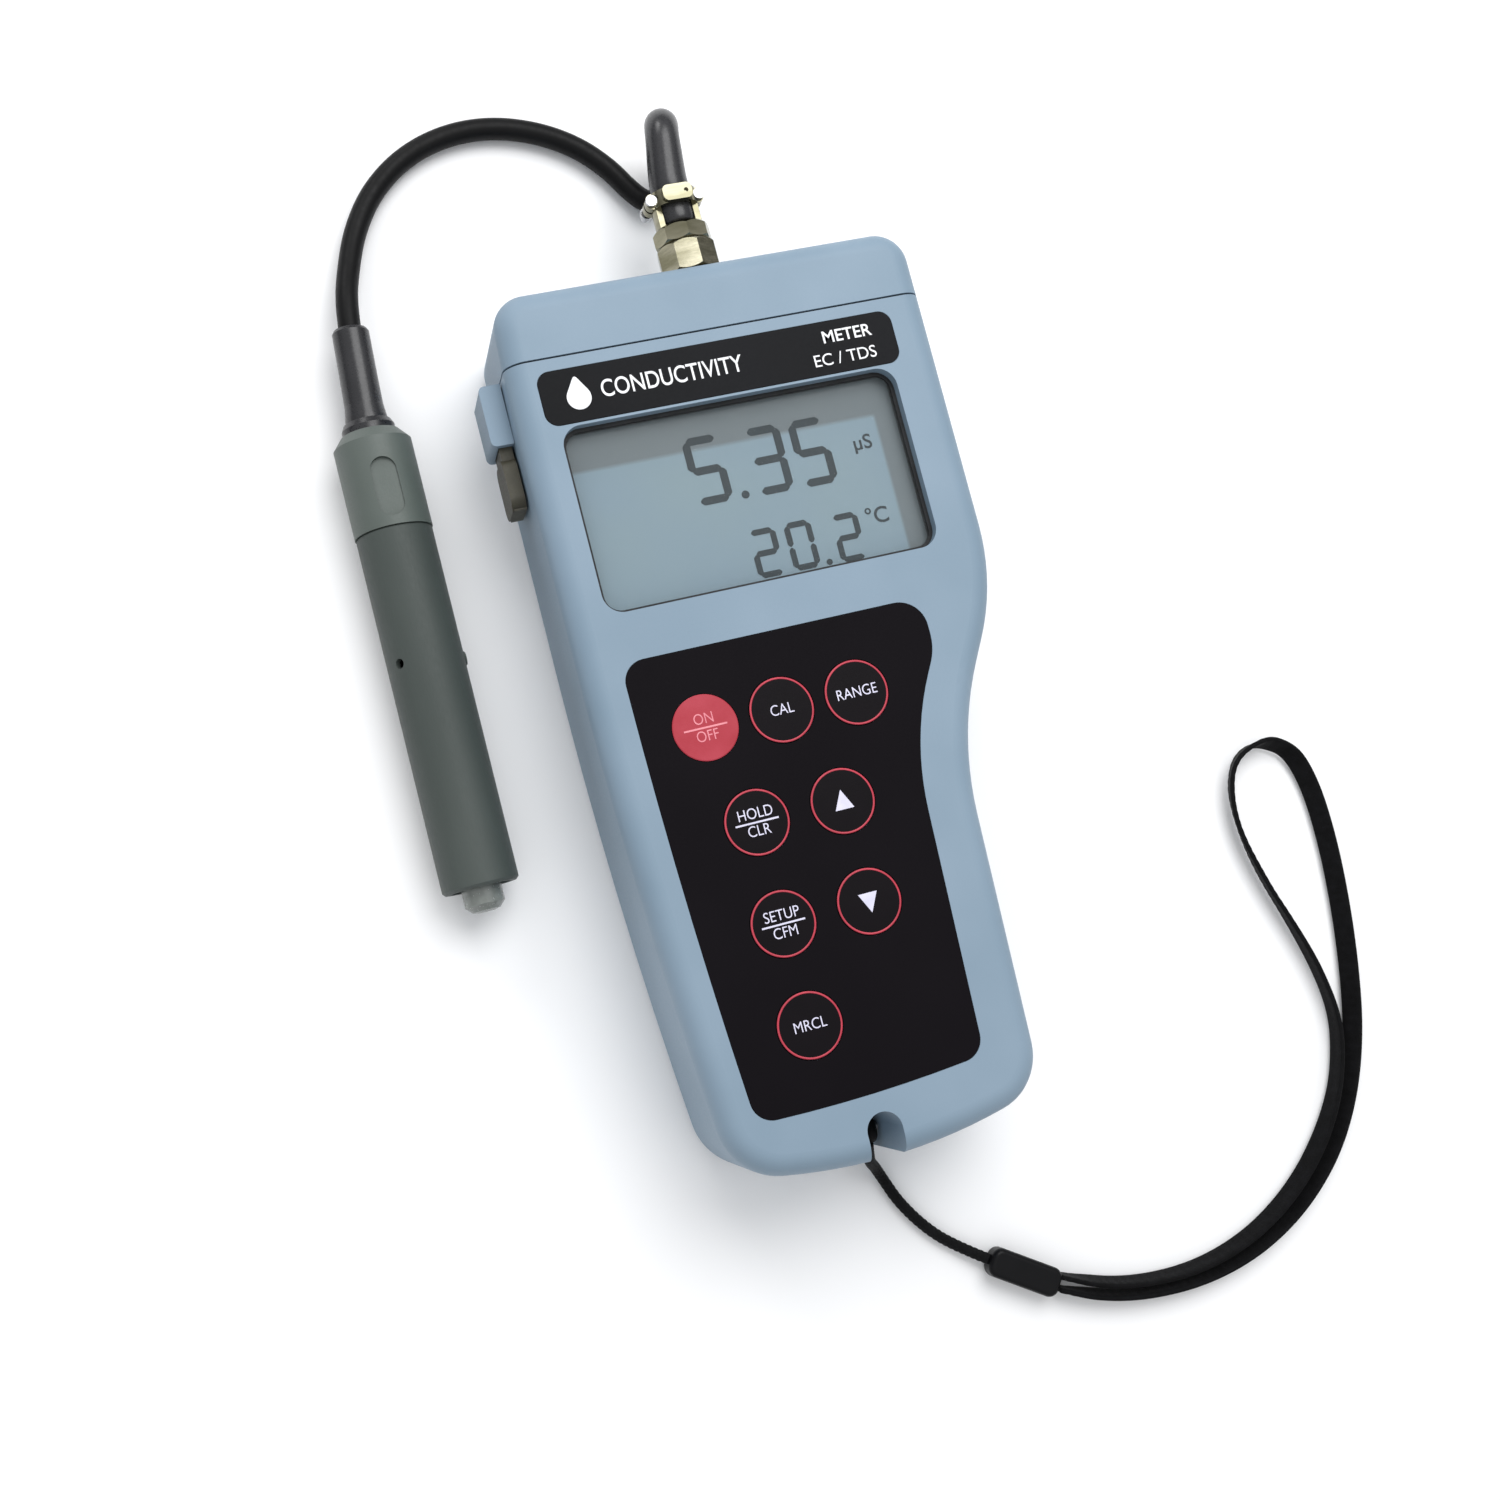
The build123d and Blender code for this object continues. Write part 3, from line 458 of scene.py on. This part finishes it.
dress(greyPvc, "probe_head")
guardPvc = finish("PVC tube turned and sanded", {
    # darker guard tube below the seam, lengthwise sanding dulls its highlight
    "colour": "#474E4B", "second": "#404744", "driftMm": 18, "grainMm": 0.45, "grainDepthMm": 0.02,
    "roughness": (0.5, 0.62), "stretch": (1.0, 0.3, 1.0), "sockets": {"Specular IOR Level": 0.35}})
dress(guardPvc, "probe_sleeve")
stemEpoxy = finish("epoxy cell stem", {
    # dark grey cast resin, a little smoother than the guard
    "colour": "#4A504C", "second": "#555B56", "driftMm": 9, "grainMm": 0.5, "grainDepthMm": 0.01,
    "roughness": (0.32, 0.44)})
dress(stemEpoxy, "cell_stem")
rubberSeal = finish("EPDM seal", {
    # matt black rubber with a dusty bloom
    "colour": "#17181A", "second": "#242527", "driftMm": 7, "grainMm": 0.5, "grainDepthMm": 0.02,
    "roughness": (0.6, 0.75)})
dress(rubberSeal, "window_gasket", "cap_gasket", "housing_gasket", "door_gasket", "probe_oring")
dress(bootRubber, "plug_boot", "probe_boot")
contactRubber = finish("silicone contact strip", {
    # layered conductive rubber, shows as fine grey bands
    "colour": "#2B2C2E", "second": "#8D8F92", "driftMm": 0.6, "grainMm": 0.3, "grainDepthMm": 0.01,
    "roughness": (0.5, 0.65), "stretch": (1.0, 0.02, 0.02)})
dress(contactRubber, "contact_strips")
epoxyChip = finish("epoxy chip package", {
    # dark grey moulding compound, dull
    "colour": "#222426", "second": "#2B2D2F", "driftMm": 3, "grainMm": 0.2, "grainDepthMm": 0.01,
    "roughness": (0.55, 0.7)})
dress(epoxyChip, "board_chips", "tact_switches")
cellSleeve = finish("printed PVC cell sleeve", {
    # shrink sleeve of the battery cells, dark blue-grey and glossy
    "colour": "#2D3B52", "second": "#36465F", "driftMm": 14, "grainMm": 1.2, "grainDepthMm": 0.01,
    "roughness": (0.2, 0.3)})
dress(cellSleeve, "battery_cells")

# metals
metal = {"Metallic": 1.0}
nickel = finish("nickel-plated brass", {
    # warm yellow-grey plating, soft mirror with faint turning marks
    "colour": "#9A9683", "second": "#77745F", "driftMm": 3.5, "grainMm": 0.35, "grainDepthMm": 0.006,
    "roughness": (0.12, 0.24), "stretch": (0.25, 1.0, 0.25), "sockets": metal})
dress(nickel, "plug_body", "plug_clamp", "plug_coupling_nut", "panel_socket", "socket_nut")
steel = finish("stainless steel", {
    # neutral bright grey with fine machining
    "colour": "#B9BABC", "second": "#A3A4A7", "driftMm": 2, "grainMm": 0.2, "grainDepthMm": 0.008,
    "roughness": (0.24, 0.36), "sockets": metal})
dress(steel, "clamp_screws", "door_screws", "housing_screws", "board_screws", "strap_pin", "temperature_pin")
springSteel = finish("nickel-plated spring steel", {
    # thin bright strip, slightly stained
    "colour": "#C4C3BD", "second": "#A7A49A", "driftMm": 4, "grainMm": 0.3, "grainDepthMm": 0.006,
    "roughness": (0.22, 0.38), "sockets": metal})
dress(springSteel, "battery_contacts")
graphite = finish("graphite electrode", {
    # soft dark grey with a metallic lustre
    "colour": "#35363A", "second": "#44464A", "driftMm": 1.5, "grainMm": 0.3, "grainDepthMm": 0.01,
    "roughness": (0.35, 0.5), "sockets": {"Metallic": 0.4}})
dress(graphite, "cell_electrodes")
dress(braidedPolyester, "strap_hitch")
circuitBoard = finish("FR4 board with solder mask", {
    # green lacquer over copper, slightly cloudy
    "colour": "#1F5A3C", "second": "#2B6E49", "driftMm": 4, "grainMm": 0.6, "grainDepthMm": 0.01,
    "roughness": (0.25, 0.38)})
dress(circuitBoard, "main_board")

# clear parts
tipClear = finish("smoky polycarbonate", {
    # end of the cell, cloudy and half clear
    "colour": "#8B918C", "second": "#9DA39E", "driftMm": 3, "grainMm": 0.5, "grainDepthMm": 0.01,
    "roughness": (0.16, 0.28), "sockets": {"Transmission Weight": 0.45, "IOR": 1.58}})
dress(tipClear, "sensor_tip")
acrylic = finish("clear acrylic", {
    # almost invisible pane that only adds its gloss
    "colour": "#C9D3D6", "second": "#D2DBDD", "driftMm": 30, "grainMm": 3.0, "grainDepthMm": 0.002,
    "roughness": (0.05, 0.09), "sockets": {"Alpha": 0.04, "Specular IOR Level": 0.1}})
dress(acrylic, "window_lens")
print("materials ready")


# display
displayLook = {
    "glassTopZ": 31.40, "inkMm": 0.05, "ink": "#101C22", "inkSecond": "#15232A",
    "bigStroke": 1.65, "smallStroke": 1.25,
    "big": [("5", -8.2, 50.2), ("3", 4.9, 49.8), ("5", 14.6, 49.6)],
    "small": [("2", -0.5, 30.9), ("0", 7.2, 30.9), ("2", 17.4, 30.5)],
    "bigSize": (6.2, 12.7), "smallSize": (4.6, 9.0),
    "bigPoint": (-1.7, 43.6), "smallPoint": (12.0, 26.3),
}
segments = {
    "a": ((-1, 1), (1, 1)), "b": ((1, 1), (1, 0)), "c": ((1, 0), (1, -1)), "d": ((-1, -1), (1, -1)),
    "e": ((-1, 0), (-1, -1)), "f": ((-1, 1), (-1, 0)), "g": ((-1, 0), (1, 0)),
}
digits = {"0": "abcdef", "2": "abged", "3": "abgcd", "5": "afgcd"}


def barOutline(start, end, stroke, gap):
    # one display segment with pointed, slightly blunted ends
    a = Vector(start)
    b = Vector(end)
    run = (b - a).normalized()
    side = Vector((-run.y, run.x)) * stroke / 2
    a += run * gap
    b -= run * gap
    tip = stroke * 0.42
    return [a + side * 0.25, a + run * tip + side, b - run * tip + side, b + side * 0.25,
            b - side * 0.25, b - run * tip - side, a + run * tip - side, a - side * 0.25]


def raised(name, outlines, bottom, height):
    # thin solid printed marks from flat outlines in millimetres
    points = []
    faces = []
    for outline in outlines:
        base = len(points)
        count = len(outline)
        points += [(p[0] * mm, p[1] * mm, bottom * mm) for p in outline]
        points += [(p[0] * mm, p[1] * mm, (bottom + height) * mm) for p in outline]
        faces.append(tuple(range(base, base + count)))
        faces.append(tuple(range(base + count, base + 2 * count)))
        for j in range(count):
            after = (j + 1) % count
            faces.append((base + j, base + after, base + count + after, base + count + j))
    return meshFrom(name, points, faces, smooth=False)


def digitOutlines(rows, size, stroke):
    outlines = []
    for digit, x, y in rows:
        for name in digits[digit]:
            (ax, ay), (bx, by) = segments[name]
            start = (x + ax * size[0] / 2, y + ay * size[1] / 2)
            end = (x + bx * size[0] / 2, y + by * size[1] / 2)
            outlines.append(barOutline(start, end, stroke, 0.12))
    return outlines


def roundDot(x, y, radius):
    angles = [a * math.pi / 8 for a in range(16)]
    return [(x + radius * math.cos(angle), y + radius * math.sin(angle)) for angle in angles]


crystalInk = finish("liquid crystal segment", {
    # dark slate, soft edged on the silver reflector
    "colour": displayLook["ink"], "second": displayLook["inkSecond"], "driftMm": 9, "grainMm": 0.5,
    "grainDepthMm": 0.002, "roughness": (0.3, 0.4), "sockets": {"Specular IOR Level": 0.06}})
marks = digitOutlines(displayLook["big"], displayLook["bigSize"], displayLook["bigStroke"])
marks += digitOutlines(displayLook["small"], displayLook["smallSize"], displayLook["smallStroke"])
marks.append(roundDot(*displayLook["bigPoint"], 0.85))
marks.append(roundDot(*displayLook["smallPoint"], 0.65))
readout = addPiece("displayReadout", raised("displayReadout", marks, displayLook["glassTopZ"] + 0.02,
                                            displayLook["inkMm"]), crystalInk, "meter")


def lettering(name, words, centre, capHeight, bottom, material, body, align="CENTER", weight=0.0,
              stretch=1.0, onto=None):
    # printed words: capHeight in millimetres, laid on a surface when onto names a node
    font = bpy.data.curves.new(name, "FONT")
    font.body = words
    font.align_x = align
    font.align_y = "CENTER"
    font.size = capHeight / 0.69
    font.offset = weight
    font.resolution_u = 6
    holder = bpy.data.objects.new(name, font)
    bpy.context.scene.collection.objects.link(holder)
    flat = bpy.data.meshes.new_from_object(holder)
    bpy.data.objects.remove(holder)
    points = [Vector((v.co.x * stretch + centre[0], v.co.y + centre[1])) for v in flat.vertices]
    shell = bmesh.new()
    verts = [shell.verts.new((p.x * mm, p.y * mm, bottom * mm)) for p in points]
    for face in flat.polygons:
        shell.faces.new([verts[i] for i in face.vertices])
    bmesh.ops.remove_doubles(shell, verts=shell.verts, dist=1e-7)
    made = bmesh.ops.extrude_face_region(shell, geom=shell.faces[:])
    top = [v for v in made["geom"] if isinstance(v, bmesh.types.BMVert)]
    bmesh.ops.translate(shell, verts=top, vec=(0, 0, 0.04 * mm))
    bmesh.ops.recalc_face_normals(shell, faces=shell.faces)
    mesh = bpy.data.meshes.new(name)
    shell.to_mesh(mesh)
    shell.free()
    bpy.data.meshes.remove(flat)
    if onto:
        layOn(mesh, onto, bottom * mm)
    return addPiece(name, mesh, material, body)


def layOn(mesh, node, bottom):
    # moves printed marks down onto the curved top of a node
    tree = BVHTree.FromPolygons([v.co for v in nodes[node].data.vertices],
                                [p.vertices for p in nodes[node].data.polygons])
    for vertex in mesh.vertices:
        hit = tree.ray_cast(Vector((vertex.co.x, vertex.co.y, 0.06)), Vector((0, 0, -1)))[0]
        vertex.co.z = hit.z + 0.01 * mm + vertex.co.z - bottom


unitZ = displayLook["glassTopZ"] + 0.02
lettering("displayUnits", "µS", (25.5, 49.4), 3.0, unitZ, crystalInk, "meter", weight=0.05)
lettering("displayDegrees", "°C", (24.5, 33.6), 3.3, unitZ, crystalInk, "meter", weight=0.05)

# the display glass: cool blue-grey, with its top and right edges painted darker and greener as the shadow of
# the bezel
material, tree, shader = newMaterial("display glass with painted bezel shadow",
                                     {"Roughness": 0.3, "Specular IOR Level": 0.15})
place = addNode(tree, "ShaderNodeTexCoord").outputs["Object"]
axes = addNode(tree, "ShaderNodeSeparateXYZ", None, {"Vector": place})
shadowEdges = []
# painted shadow of the bezel: fades in above Y 54.2-55.2 mm and right of X 29.2-30.0 mm
for axis, low, high in (("Y", 55.2, 54.2), ("X", 30.0, 29.2)):
    shadowEdges.append(addNode(tree, "ShaderNodeMapRange", {"From Min": low * mm, "From Max": high * mm},
                         {"Value": axes.outputs[axis]}).outputs["Result"])
outsideShadow = addNode(tree, "ShaderNodeMath", {"operation": "MULTIPLY"}, {0: shadowEdges[0], 1: shadowEdges[1]})
cloud = addNode(tree, "ShaderNodeTexNoise", {"Scale": perMetre(28), "Detail": 2.0}, {"Vector": place})
unshadedGlass = addNode(tree, "ShaderNodeMix",
                   {"data_type": "RGBA", 6: toLinear("#6F8596"), 7: toLinear("#74898F")},
                   {0: cloud.outputs["Fac"]})
# painted shade: the darker, greener colour of the bezel's shadow on the glass
paintedBezelShadow = addNode(tree, "ShaderNodeMix",
                 {"data_type": "RGBA", 6: toLinear("#565F64"), 7: toLinear("#5E686B")},
                 {0: cloud.outputs["Fac"]})
glassColour = addNode(tree, "ShaderNodeMix", {"data_type": "RGBA"},
                      {0: outsideShadow.outputs[0], 6: paintedBezelShadow.outputs[2], 7: unshadedGlass.outputs[2]})
speck = addNode(tree, "ShaderNodeTexNoise", {"Scale": perMetre(0.35), "Detail": 1.0}, {"Vector": place})
speckBump = addNode(tree, "ShaderNodeBump", {"Strength": 0.4, "Distance": 0.005 * mm},
                    {"Height": speck.outputs["Fac"]})
tree.links.new(glassColour.outputs[2], shader.inputs["Base Color"])
tree.links.new(speckBump.outputs["Normal"], shader.inputs["Normal"])
dress(material, "lcd_panel")
print("display ready")


# label print
whiteInk = finish("white screen print", {
    # crisp white ink, very slightly uneven
    "colour": "#F2F3F5", "second": "#E4E6EA", "driftMm": 6, "grainMm": 0.3, "grainDepthMm": 0.004,
    "roughness": (0.4, 0.55)})
labelZ = 36.1
lettering("labelName", "CONDUCTIVITY", (-11.6, 69.3), 3.5, labelZ, whiteInk, "meter",
          weight=0.03, stretch=0.80)
lettering("labelKind", "METER", (26.7, 71.4), 2.5, labelZ, whiteInk, "meter", weight=0.04)
lettering("labelRange", "EC / TDS", (25.2, 66.7), 2.5, labelZ, whiteInk, "meter", weight=0.0)
dropOutline = []
for k in range(36):
    angle = math.pi / 2 + 2 * math.pi * k / 36
    pull = max(0.0, math.sin(angle)) ** 6
    dropOutline.append((-31.2 + 2.5 * math.cos(angle) * (1 - 0.25 * pull),
                        68.6 + 2.5 * math.sin(angle) + 1.9 * pull))
addPiece("labelDrop", raised("labelDrop", [dropOutline], labelZ, 0.04), whiteInk, "meter")

# key print
keyPlaces = {
    "on_off": (-23.1, -1.7), "cal": (-7.1, -1.7), "range": (8.9, -1.7), "hold": (-17.8, -22.3),
    "up": (0.3, -22.3),
    "setup": (-17.8, -42.9), "down": (0.3, -42.9), "recall": (-17.8, -63.3)}
keyWords = {"cal": ["CAL"], "range": ["RANGE"], "hold": ["HOLD", "CLR"], "setup": ["SETUP", "CFM"],
            "recall": ["MRCL"], "on_off": ["ON", "OFF"]}
keyLook = {"capHeight": 2.15, "lineDrop": 1.75, "barWidth": 9.0, "barHeight": 0.36, "ringOuter": 6.62,
           "ringInner": 6.22}
# key print is made at this height, then laid down onto the key
printZ = 36.35
inkThickness = 0.04
redInk = finish("red screen print", {
    # thin red ring round each key
    "colour": "#C23A4C", "second": "#B23244", "driftMm": 4, "grainMm": 0.3, "grainDepthMm": 0.004,
    "roughness": (0.4, 0.5)})
lilacInk = finish("pale lilac screen print", {
    # slightly violet white of the key legends
    "colour": "#DCDAEE", "second": "#CFCDE2", "driftMm": 3, "grainMm": 0.3, "grainDepthMm": 0.004,
    "roughness": (0.4, 0.5)})
pinkInk = finish("pink screen print", {
    # legend on the red key, only a little lighter than the key
    "colour": "#E58C96", "second": "#DC7F8B", "driftMm": 3, "grainMm": 0.3, "grainDepthMm": 0.004,
    "roughness": (0.4, 0.5)})


def ringMesh(name, centre, inner, outer):
    count = 96
    points = []
    for radius, height in ((inner, 0.0), (outer, 0.0), (outer, inkThickness), (inner, inkThickness)):
        for k in range(count):
            angle = 2 * math.pi * k / count
            points.append(((centre[0] + radius * math.cos(angle)) * mm,
                           (centre[1] + radius * math.sin(angle)) * mm, (printZ + height) * mm))
    faces = []
    for band in range(4):
        for k in range(count):
            after = (k + 1) % count
            below = band * count
            above = (band + 1) % 4 * count
            faces.append((below + k, below + after, above + after, above + k))
    return meshFrom(name, points, faces)


for key, centre in keyPlaces.items():
    body = "key_" + key
    if key != "on_off":
        ring = ringMesh("keyRing_" + key, centre, keyLook["ringInner"], keyLook["ringOuter"])
        layOn(ring, "key_" + key, printZ * mm)
        addPiece("keyRing_" + key, ring, redInk, body)
    ink = pinkInk if key == "on_off" else lilacInk
    words = keyWords.get(key, [])
    for row, word in enumerate(words):
        drop = 0.0 if len(words) == 1 else keyLook["lineDrop"] * (1 - 2 * row)
        lettering("keyText_" + key + "_" + word, word, (centre[0], centre[1] + drop),
                  keyLook["capHeight"], printZ, ink, body, weight=-0.012, stretch=0.86,
                  onto="key_" + key)
    if len(words) == 2:
        half = keyLook["barWidth"] / 2
        thin = keyLook["barHeight"] / 2
        pieces = []
        for k in range(12):
            left = centre[0] - half + 2 * half * k / 12
            right = left + 2 * half / 12
            pieces.append([(left, centre[1] - thin), (right, centre[1] - thin), (right, centre[1] + thin),
                           (left, centre[1] + thin)])
        bar = raised("keyBar_" + key, pieces, printZ, inkThickness)
        layOn(bar, "key_" + key, printZ * mm)
        addPiece("keyBar_" + key, bar, ink, body)
    if key in ("up", "down"):
        way = 1 if key == "up" else -1
        outline = [(centre[0] - 2.0, centre[1] - 1.7 * way), (centre[0] + 2.0, centre[1] - 1.7 * way),
                   (centre[0], centre[1] + 2.3 * way)]
        arrow = raised("keyArrow_" + key, [outline], printZ, inkThickness)
        layOn(arrow, "key_" + key, printZ * mm)
        addPiece("keyArrow_" + key, arrow, ink, body)
print("keys and label ready")
